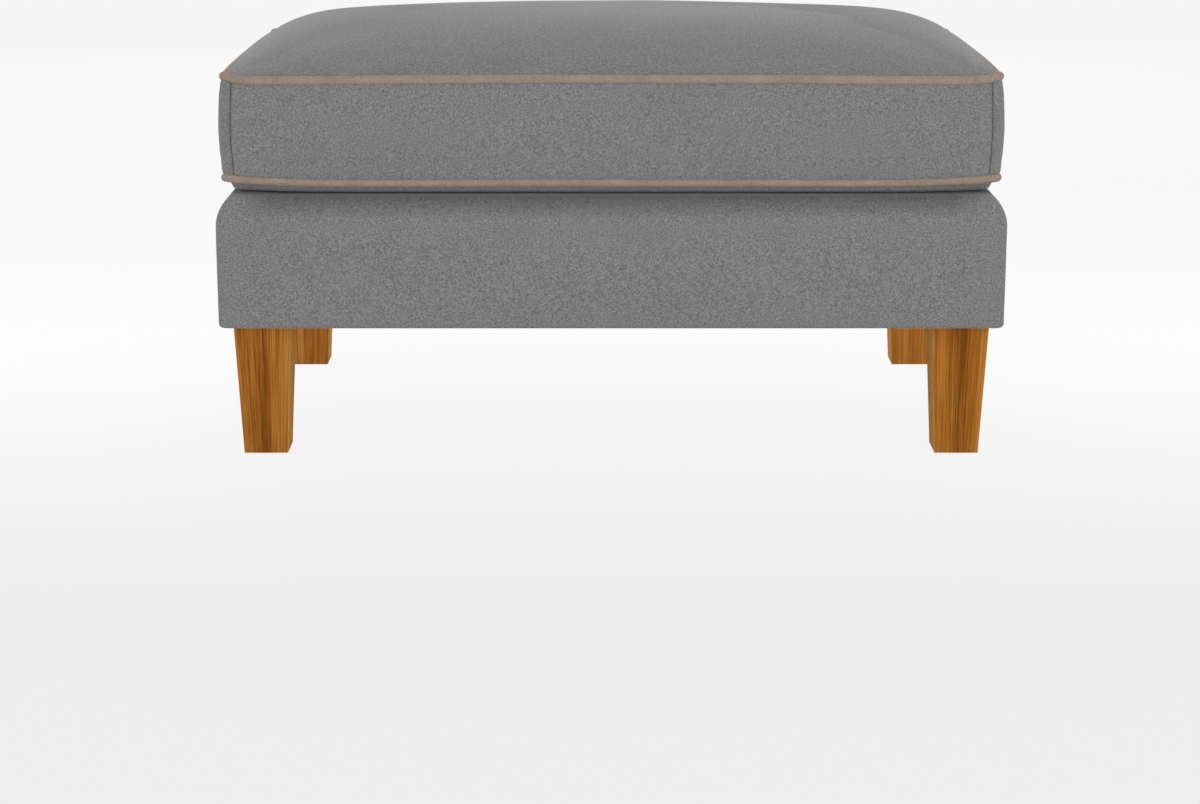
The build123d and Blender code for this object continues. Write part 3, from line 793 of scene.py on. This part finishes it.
boxingSize = {
    "seamX": 383, "seamDepth": 2.2, "seamWidth": 1.5, "seamWave": 1.2, "backEnd": 380, "rowCount": 26,
    "tuck": 2.0, "tuckReach": 5, "step": 5, "cornerSteps": 14,
    # Where the steps are closer, and into how many parts a long and a short one is divided
    "closeBefore": -150, "closeReach": 9, "longStep": 3, "longParts": 7, "shortParts": 3,
    "threadRadius": 0.45, "threadPitch": 2.9, "threadLength": 2.7, "threadSteps": 40, "threadEnd": 0.04,
    "threadRise": 0.15,
}


def sideOut(share, outY):
    # Bulge between the seams, by share of the height
    size = cushionSize
    full = eased(size["bulge"], share)
    back = size["backBulge"] * eased(size["backBulged"], share)
    return full + (back - full) * max(0, outY)


def wallEnds():
    # Heights of the upright cloth's lower and upper edges
    return cushionSize["lowerSeam"] + cushionSize["seamEdge"], cushionSize["upperSeam"] - cushionSize["seamEdge"]


def wallPoint(x, y, outX, outY, share, extra=0):
    # A point of the upright cloth over a point of the seam's outline
    size = cushionSize
    low, high = wallEnds()
    lift = seamLift(x, y, False) * (1 - share) + seamLift(x, y, True) * share
    z = low + (high - low) * share
    nearest = min(z - low, high - z)
    tuck = boxingSize["tuck"] * max(0, 1 - nearest / boxingSize["tuckReach"]) ** 2
    out = planShift(x, outY, z) + sideOut(share, outY) - tuck + extra
    unevenScale, unevenReach = size["sideUneven"]
    uneven = size["unevenness"] * min(1, nearest / unevenReach) * frontOrSide(outY)
    out += waver((x, y, z), unevenScale, uneven)
    return x + outX * out, y + outY * out, z + lift


def outlineWalk():
    # The seam's outline as (x, y, normal x, normal y), with closer steps at the front corner seams
    size = boxingSize
    corner = cushionSize["cornerRadius"]
    steps = [round(2 * (cushionSize[half] - corner) / size["step"]) for half in ("halfX", "halfY")]
    ring = cushionRing(0, corner, (*steps, size["cornerSteps"]))
    walk = []
    for here, after in zip(ring, ring[1:] + ring[:1]):
        walk.append(here)
        middleX, middleY = (here[0] + after[0]) / 2, (here[1] + after[1]) / 2
        if middleY < size["closeBefore"] and abs(abs(middleX) - size["seamX"]) < size["closeReach"]:
            parts = size["longParts"] if abs(after[0] - here[0]) > size["longStep"] else size["shortParts"]
            walk += [tuple(a + (b - a) * k / parts for a, b in zip(here, after)) for k in range(1, parts)]
    return walk


def makeBoxing():
    size = boxingSize
    walk = outlineWalk()
    first = next(i for i, point in enumerate(walk) if point[1] > 0 and point[0] <= -size["backEnd"] + 0.01)
    ordered = walk[first:] + walk[:first]
    path = [p for p in ordered if not (p[3] > 0.99 and abs(p[0]) < size["backEnd"] - 0.5)]
    rows = []
    for k in range(size["rowCount"] + 1):
        share = 0.5 - 0.5 * cos(pi * k / size["rowCount"])
        row = []
        for x, y, outX, outY in path:
            groove = 0
            if y < 0:
                away = (abs(x) - size["seamX"] - size["seamWave"] * sin(pi * share)) / size["seamWidth"]
                groove = -size["seamDepth"] * exp(-away * away)
            row.append(wallPoint(x, y, outX, outY, share, groove))
        rows.append(row)
    return cushionCover(gridPiece("cushionSides", rows, closed=False), "cushion_boxing")


makeBoxing()

zipSize = {
    "middle": 333.945, "slotHalf": 6.5, "slotEnd": 313, "slotRound": 7, "rollDepth": 1.0, "rollReach": 1.6,
    "step": 5, "closeStep": 0.7, "closeSteps": 10, "stripRows": 16, "stripPower": 1.25,
    "stitchAway": 5, "stitchDip": 0.5, "stitchWidth": 1.2, "dipEnd": 330,
    "threadPitch": 3.4, "threadLength": 2.6, "threadRadius": 0.28, "threadSink": 0.35, "threadHalf": 320,
    "toothPitch": 1.55, "toothHalf": 310, "toothWidth": 0.62, "toothDepth": 1.1, "toothReach": 1.75, "toothPlace": 1.25,
}


def slotEdge(x):
    # How far the strip's edge stands from the zip's middle line
    away = abs(x) - zipSize["slotEnd"] + zipSize["slotRound"]
    if away <= 0:
        return zipSize["slotHalf"]
    return zipSize["slotHalf"] * max(0, 1 - (away / zipSize["slotRound"]) ** 2) ** 0.5


def backPoint(x, z, extra):
    low, high = wallEnds()
    return wallPoint(x, cushionSize["halfY"], 0, 1, (z - low) / (high - low), extra)


def makeBackStrip(name, side, replaced):
    size = zipSize
    outer = wallEnds()[side > 0]
    spots = set(range(-boxingSize["backEnd"], boxingSize["backEnd"] + 1, size["step"]))
    for k in range(1, size["closeSteps"] + 1):
        place = size["slotEnd"] - size["slotRound"] + k * size["closeStep"]
        spots |= {-place, place}
    rows = []
    for k in range(size["stripRows"] + 1):
        share = (k / size["stripRows"]) ** size["stripPower"]
        row = []
        for x in sorted(spots):
            edge = size["middle"] + side * slotEdge(x)
            z = edge + (outer - edge) * share
            away = abs(z - edge)
            extra = -size["rollDepth"] * max(0, 1 - away / size["rollReach"]) ** 2 if slotEdge(x) > 0 else 0
            if abs(x) < size["dipEnd"]:
                extra -= size["stitchDip"] * exp(-((away - size["stitchAway"]) / size["stitchWidth"]) ** 2)
            row.append(backPoint(x, z, extra))
        rows.append(row)
    return cushionCover(gridPiece(name, rows, closed=False), replaced)


makeBackStrip("backStripUpper", 1, "back_boxing_upper")
makeBackStrip("backStripLower", -1, "back_boxing_lower")
print("cushion sides made")

pipingSize = {
    "ringSteps": (190, 108, 12), "aroundSteps": 16, "gatherScale": 9, "gather": 0.16, "cornerGather": 0.14,
    "gatherAlong": 2, "gatherRound": 20, "gatherFlat": 8, "gatherReach": 10, "driftScale": 120, "drift": 0.35,
}


def makePiping(name, upper, replaced):
    # A cord in a sleeve, once round the cushion, a little uneven where the sleeve is gathered at the corners
    size = pipingSize
    seamHeight = cushionSize["upperSeam"] if upper else cushionSize["lowerSeam"]
    inset = cushionSize["pipingInset"]
    ring = cushionRing(inset, cushionSize["cornerRadius"] - inset, size["ringSteps"])
    rows = []
    for k in range(size["aroundSteps"] + 1):
        angle = 2 * pi * k / size["aroundSteps"]
        row = []
        for x, y, outX, outY in ring:
            corner = exp(-max(0, hypot(*edgeDistances(x, y)) - size["gatherFlat"]) / size["gatherReach"])
            gather = size["gather"] + size["cornerGather"] * corner
            along = size["gatherAlong"]
            spot = (x * along, y * along, seamHeight + size["gatherRound"] * sin(angle))
            radius = cushionSize["pipingRadius"] + waver(spot, size["gatherScale"], gather)
            out = planShift(x, outY, seamHeight) + radius * cos(angle)
            z = seamHeight + seamLift(x, y, upper) + radius * sin(angle)
            z += waver((x, y, 0), size["driftScale"], size["drift"])
            row.append((x + outX * out, y + outY * out, z))
        rows.append(row)
    finishPiece(gridPiece(name, rows), "taupe_piping", "cushion", replaced)


makePiping("topPiping", True, "piping_top")
makePiping("bottomPiping", False, "piping_bottom")
print("pipings made")


# Fillings, which fill out the covers and stay clear of them

fillingSize = {
    # Gap under the cloth, inset from the sides and lowest height of the fibre wrap and of the core
    "wrap": (3.6, 8, 275.4), "core": (18, 20, 287), "wall": 0.6,
    "firstInset": 25, "radius": 9, "sharpReach": 60, "ringSteps": (96, 54, 6), "sideSteps": 12, "sideEnd": 0.02,
    "sideBow": 0.8, "zipRoom": 3, "zipReach": 16, "underCloth": 2.3, "skinReach": 30,
    "foamVoxel": 7, "stripVoxel": 3, "softenings": 4, "softness": 0.5, "drawIn": 0.35,
}


def keepUnder(piece, room):
    # Draws a filling in where it comes nearer than room to the outside of the cushion's panels
    for vertex in piece.data.vertices:
        for skin in panelSkins:
            place, normal, *others = skin.find_nearest(vertex.co, fillingSize["skinReach"] * 0.001)
            if place is not None:
                height = (vertex.co - place).dot(normal)
                if height > -room * 0.001:
                    vertex.co -= normal * (height + room * 0.001)
    return piece


def fillingPiece(name, gap, sideInset, lowest):
    # A closed form that follows the cushion's outline from gap under its cloth
    size = fillingSize
    halfX, halfY = cushionSize["halfX"], cushionSize["halfY"]
    rings = []
    for inset in panelInsets[panelInsets.index(size["firstInset"]):]:
        inner = sideInset + (inset - size["firstInset"]) * (halfY - sideInset) / (halfY - size["firstInset"])
        radius = size["radius"] * min(1, (halfY - inner) / size["sharpReach"])
        rings.append(cushionRing(inner, radius, size["ringSteps"]))
    rows = [[(x, y, lowest) for x, y, *normal in ring] for ring in reversed(rings)]
    top = cushionSize["upperSeam"] + crownHeight(halfX - sideInset, halfY - sideInset) - gap
    for k in range(size["sideSteps"] + 1):
        share = size["sideEnd"] + (1 - 2 * size["sideEnd"]) * k / size["sideSteps"]
        z = lowest + (top - lowest) * share
        row = []
        for x, y, outX, outY in cushionRing(sideInset, size["radius"], size["ringSteps"]):
            zipRoom = size["zipRoom"] * max(0, outY) * exp(-((z - zipSize["middle"]) / size["zipReach"]) ** 4)
            inward = zipRoom + size["sideBow"] * (2 * share - 1) ** 4
            row.append((x - outX * inward, y - outY * inward, z))
        rows.append(row)
    rows += [[(x, y, cushionSize["upperSeam"] + crownHeight(x, y) - gap) for x, y, *normal in ring] for ring in rings]
    return gridPiece(name, rows)


def makeWrap():
    # Outside and inside walls of the fibre round the core, as one piece
    outer = fillingPiece("fibreWrap", *fillingSize["wrap"])
    inner = fillingPiece("wrapInside", *(value - fillingSize["wall"] for value in fillingSize["core"]))
    inner.data.flip_normals()
    both = bmesh.new()
    for piece in (outer, inner):
        both.from_mesh(piece.data)
    both.to_mesh(outer.data)
    both.free()
    bpy.data.objects.remove(inner)
    return finishPiece(keepUnder(outer, fillingSize["underCloth"]), "wadding", "cushion", "cushion_wrap")


def makeCore():
    return finishPiece(fillingPiece("foamCore", *fillingSize["core"]), "foam", "cushion", "cushion_core")


def makeFilling(name, nodeName, voxel, slotName, body):
    # A softened copy of the filling's solid
    mesh = frame["nodes"][nodeName].data.copy()
    weld(mesh, 0.002)
    mesh.materials.clear()
    piece = newObject(name, mesh)
    rebuilt = piece.modifiers.new("rebuilt", "REMESH")
    rebuilt.mode = "VOXEL"
    rebuilt.voxel_size = voxel * 0.001
    softened = piece.modifiers.new("softened", "SMOOTH")
    softened.iterations = fillingSize["softenings"]
    softened.factor = fillingSize["softness"]
    bakeModifiers(piece)
    normals = [vertex.normal.copy() for vertex in piece.data.vertices]
    for vertex, normal in zip(piece.data.vertices, normals):
        vertex.co = vertex.co - normal * fillingSize["drawIn"] * 0.001
    piece.data.shade_smooth()
    return finishPiece(piece, slotName, body, nodeName)


makeWrap()
makeCore()
makeFilling("deckPad", "deck_foam", fillingSize["foamVoxel"], "foam", "base")
for side in ("front", "back", "left", "right"):
    makeFilling(f"railPad.{side}", f"padding_{side}", fillingSize["stripVoxel"], "wadding", "base")
print("fillings made")


# Dust cover under the base, stapled round its edge and hanging a little between the rails

dustSize = {
    "halfX": 388, "halfY": 233, "level": 137.0, "thickness": 0.6, "stepsX": 78, "stepsY": 47,
    "sag": 3.0, "freeX": 330, "freeY": 175, "freePower": 0.6, "crease": 0.5, "creaseScale": 45,
}


def makeDustCover():
    size = dustSize
    rows = []
    for j in range(size["stepsY"] + 1):
        y = size["halfY"] * (2 * j / size["stepsY"] - 1)
        row = []
        for i in range(size["stepsX"] + 1):
            x = size["halfX"] * (2 * i / size["stepsX"] - 1)
            free = max(0, 1 - (x / size["freeX"]) ** 2) ** size["freePower"]
            free *= max(0, 1 - (y / size["freeY"]) ** 2) ** size["freePower"]
            crease = waver((x, y, 0), size["creaseScale"], size["crease"]) * free
            row.append((x, y, size["level"] - size["sag"] * free + crease))
        rows.append(row)
    piece = gridPiece("dustCover", rows, closed=False)
    return finishPiece(giveThickness(piece, size["thickness"]), "black_nonwoven", "base", "dust_cover")


dustCover = makeDustCover()
print("dust cover made")


# Repeated small parts, by Geometry Nodes


def treeWith(name, inputs):
    tree = bpy.data.node_groups.new(name, "GeometryNodeTree")
    for label, kind in {"Geometry": "Geometry", **inputs, "Finish": "Material"}.items():
        tree.interface.new_socket(label, in_out="INPUT", socket_type=f"NodeSocket{kind}")
    tree.interface.new_socket("Geometry", in_out="OUTPUT", socket_type="NodeSocketGeometry")
    return tree, tree.nodes.new("NodeGroupInput").outputs


def endTree(tree, source, start):
    realised = wired(tree, "GeometryNodeRealizeInstances", {"Geometry": source})
    coloured = wired(tree, "GeometryNodeSetMaterial", {"Geometry": realised, "Material": start["Finish"]})
    wire(tree, "NodeGroupOutput", {0: coloured})
    return tree


def grow(piece, tree, values):
    # Runs the tree on a piece and keeps the result as its plain mesh
    modifier = piece.modifiers.new("repeat", "NODES")
    modifier.node_group = tree
    for item in tree.interface.items_tree:
        if item.in_out == "INPUT" and item.name in values:
            modifier[item.identifier] = values[item.name]
    bakeModifiers(piece)
    piece.data.shade_smooth()


def stitchTree():
    # An oval stitch at every pitch along each line of the mesh
    tree, start = treeWith("stitchRow", {"Pitch": "Float", "Stitch length": "Float", "Thread radius": "Float"})
    line = wired(tree, "GeometryNodeMeshToCurve", {"Mesh": start["Geometry"]})
    spots = wire(tree, "GeometryNodeCurveToPoints", {"Curve": line, "Length": start["Pitch"]}, mode="LENGTH").outputs
    ball = wired(tree, "GeometryNodeMeshUVSphere", {"Segments": 6, "Rings": 4, "Radius": 1.0})
    half = sums(tree, "MULTIPLY", start["Stitch length"], 0.5)
    scale = wired(tree, "ShaderNodeCombineXYZ", {"X": start["Thread radius"], "Y": start["Thread radius"], "Z": half})
    stitch = wired(tree, "GeometryNodeTransform", {"Geometry": ball, "Scale": scale})
    placed = wired(tree, "GeometryNodeInstanceOnPoints", {
        "Points": spots["Points"], "Instance": stitch, "Rotation": spots["Rotation"]})
    return endTree(tree, placed, start)


def coilTree():
    # Two rows of teeth, half a pitch apart, that meet on the zip's middle line
    tree, start = treeWith("zipCoil", {
        "Count": "Int", "Pitch": "Float", "First": "Vector", "Tooth size": "Vector", "Row shift": "Vector"})
    ball = wired(tree, "GeometryNodeMeshUVSphere", {"Segments": 6, "Rings": 5, "Radius": 1.0})
    tooth = wired(tree, "GeometryNodeTransform", {"Geometry": ball, "Scale": start["Tooth size"]})
    step = wired(tree, "ShaderNodeCombineXYZ", {"X": start["Pitch"]})
    joined = tree.nodes.new("GeometryNodeJoinGeometry")
    for side in (-1, 1):
        away = wired(tree, "ShaderNodeVectorMath", {0: start["Row shift"], "Scale": side}, operation="SCALE")
        begin = vectors(tree, "ADD", start["First"], away)
        line = wired(tree, "GeometryNodeMeshLine", {"Count": start["Count"], "Start Location": begin, "Offset": step})
        row = wired(tree, "GeometryNodeInstanceOnPoints", {"Points": line, "Instance": tooth})
        tree.links.new(row, joined.inputs[0])
    return endTree(tree, joined.outputs[0], start)


def linePiece(name, lines):
    points, edges = [], []
    for line in lines:
        edges += [(len(points) + k, len(points) + k + 1) for k in range(len(line) - 1)]
        points += [toMetres(point) for point in line]
    mesh = bpy.data.meshes.new(name)
    mesh.from_pydata(points, edges, [])
    return newObject(name, mesh)


def stitchPiece(name, lines, size, finish):
    piece = linePiece(name, lines)
    grow(piece, stitchTree(), {
        "Pitch": size["threadPitch"] * 0.001, "Stitch length": size["threadLength"] * 0.001,
        "Thread radius": size["threadRadius"] * 0.001, "Finish": finish})
    finishPiece(piece, "grey_cloth", "cushion")


def makeZipStitches():
    size = zipSize
    lines = []
    for side in (-1, 1):
        z = size["middle"] + side * (size["slotHalf"] + size["stitchAway"])
        spots = range(-size["threadHalf"], size["threadHalf"] + 1, size["step"])
        lines.append([backPoint(x, z, -size["threadSink"]) for x in spots])
    stitchPiece("zipStitches", lines, size, finishes["grey_cloth"])


def makeZipTeeth():
    size = zipSize
    pitch = size["toothPitch"]
    count = int((2 * size["toothHalf"] - pitch) / pitch)
    first = (-count * pitch / 2, cushionSize["halfY"], size["middle"])
    piece = linePiece("zipTeeth", [[first, (first[0] + 1, first[1], first[2])]])
    grow(piece, coilTree(), {
        "Count": count, "Pitch": pitch * 0.001, "First": toMetres(first),
        "Tooth size": toMetres((size["toothWidth"], size["toothDepth"], size["toothReach"])),
        "Row shift": toMetres((pitch / 4, 0, size["toothPlace"])), "Finish": finishes["zip_coil"]})
    finishPiece(piece, "zip_coil", "cushion", "zip_chain")


def makeSeamThreads():
    # The sunken thread of the two upright seams; its near-black colour is painted shade, standing in for the shade in
    # the seam's groove
    size = boxingSize
    halfX, halfY, corner = cushionSize["halfX"], cushionSize["halfY"], cushionSize["cornerRadius"]
    lines = []
    for side in (-1, 1):
        line = []
        for k in range(size["threadSteps"] + 1):
            share = size["threadEnd"] + (1 - 2 * size["threadEnd"]) * k / size["threadSteps"]
            across = (size["seamX"] - halfX + corner + size["seamWave"] * sin(pi * share)) / corner
            back = (1 - across * across) ** 0.5
            x, y = side * (halfX - corner * (1 - across)), -halfY + corner * (1 - back)
            line.append(wallPoint(x, y, side * across, -back, share, size["threadRise"] - size["seamDepth"]))
        lines.append(line)
    stitchPiece("seamThreads", lines, size, makeSmooth("seamThread", "moulded", (0.05, 0.05, 0.05, 1), 0.8))


makeZipStitches()
makeZipTeeth()
makeSeamThreads()
print("stitches and zip teeth made")


# Floor and background, which show pale to the camera and to reflections, and keep the stool's shadow

stage = {
    "world": 0.76, "backdrop": 0.938, "floorSize": 14000, "floorBounce": 0.86,
    # The floor's tones from front to back, where each change starts and ends, and the glow's share of what shows
    "near": 0.86, "far": 0.985, "rise": (-0.68, 0.1), "drop": 0.055, "fall": (0.35, 1.5), "fade": (3, 6.5),
    "glow": 0.93, "glowing": (-2.2, -1.3),
}


def cameraLike(tree):
    path = wire(tree, "ShaderNodeLightPath").outputs
    seen = sums(tree, "MAXIMUM", path["Is Camera Ray"], path["Is Glossy Ray"])
    return sums(tree, "MAXIMUM", seen, path["Is Transmission Ray"])


def makeFloor():
    size = stage
    half = size["floorSize"] / 2
    mesh = bpy.data.meshes.new("floor")
    corners = ((-half, -half, 0), (half, -half, 0), (half, half, 0), (-half, half, 0))
    mesh.from_pydata([toMetres(corner) for corner in corners], [], [(0, 1, 2, 3)])
    floor = newObject("floor", mesh)
    material = bpy.data.materials.new("paleFloor")
    material.use_nodes = True
    tree = material.node_tree
    tree.nodes.clear()
    place = wire(tree, "ShaderNodeTexCoord").outputs["Object"]
    back = parts(tree, place)["Y"]
    tone = rescale(tree, back, *size["rise"], size["near"], size["far"])
    tone = sums(tree, "SUBTRACT", tone, rescale(tree, back, *size["fall"], 0, size["drop"]))
    # Far off, the floor takes the background's tone on every side
    reach = wire(tree, "ShaderNodeVectorMath", {0: place}, operation="LENGTH").outputs["Value"]
    tone = mixIn(tree, tone, sums(tree, "SUBTRACT", size["backdrop"], tone), rescale(tree, reach, *size["fade"]))
    pale = wired(tree, "ShaderNodeCombineColor", {0: tone, 1: tone, 2: tone})
    shaded = wired(tree, "ShaderNodeBsdfDiffuse", {"Color": pale})
    glow = wired(tree, "ShaderNodeEmission", {"Color": pale, "Strength": 1.0})
    # Close to the front lamp the floor shows its tone alone, so that the lamp leaves no bright patch there
    glowing = rescale(tree, back, *size["glowing"], 1, size["glow"])
    shown = wired(tree, "ShaderNodeMixShader", {0: glowing, 1: shaded, 2: glow})
    bounced = wired(tree, "ShaderNodeBsdfDiffuse", {"Color": (*[size["floorBounce"]] * 3, 1)})
    chosen = wired(tree, "ShaderNodeMixShader", {0: cameraLike(tree), 1: bounced, 2: shown})
    wire(tree, "ShaderNodeOutputMaterial", {"Surface": chosen})
    mesh.materials.append(material)


def makeWorld():
    world = bpy.data.worlds.new("studio")
    world.use_nodes = True
    tree = world.node_tree
    tree.nodes.clear()
    lit = wired(tree, "ShaderNodeBackground", {"Color": (1, 1, 1, 1), "Strength": stage["world"]})
    shown = wired(tree, "ShaderNodeBackground", {"Color": (*[stage["backdrop"]] * 3, 1), "Strength": 1.0})
    chosen = wired(tree, "ShaderNodeMixShader", {0: cameraLike(tree), 1: lit, 2: shown})
    wire(tree, "ShaderNodeOutputWorld", {"Surface": chosen})
    scene.world = world


makeFloor()
makeWorld()
print("floor and background made")
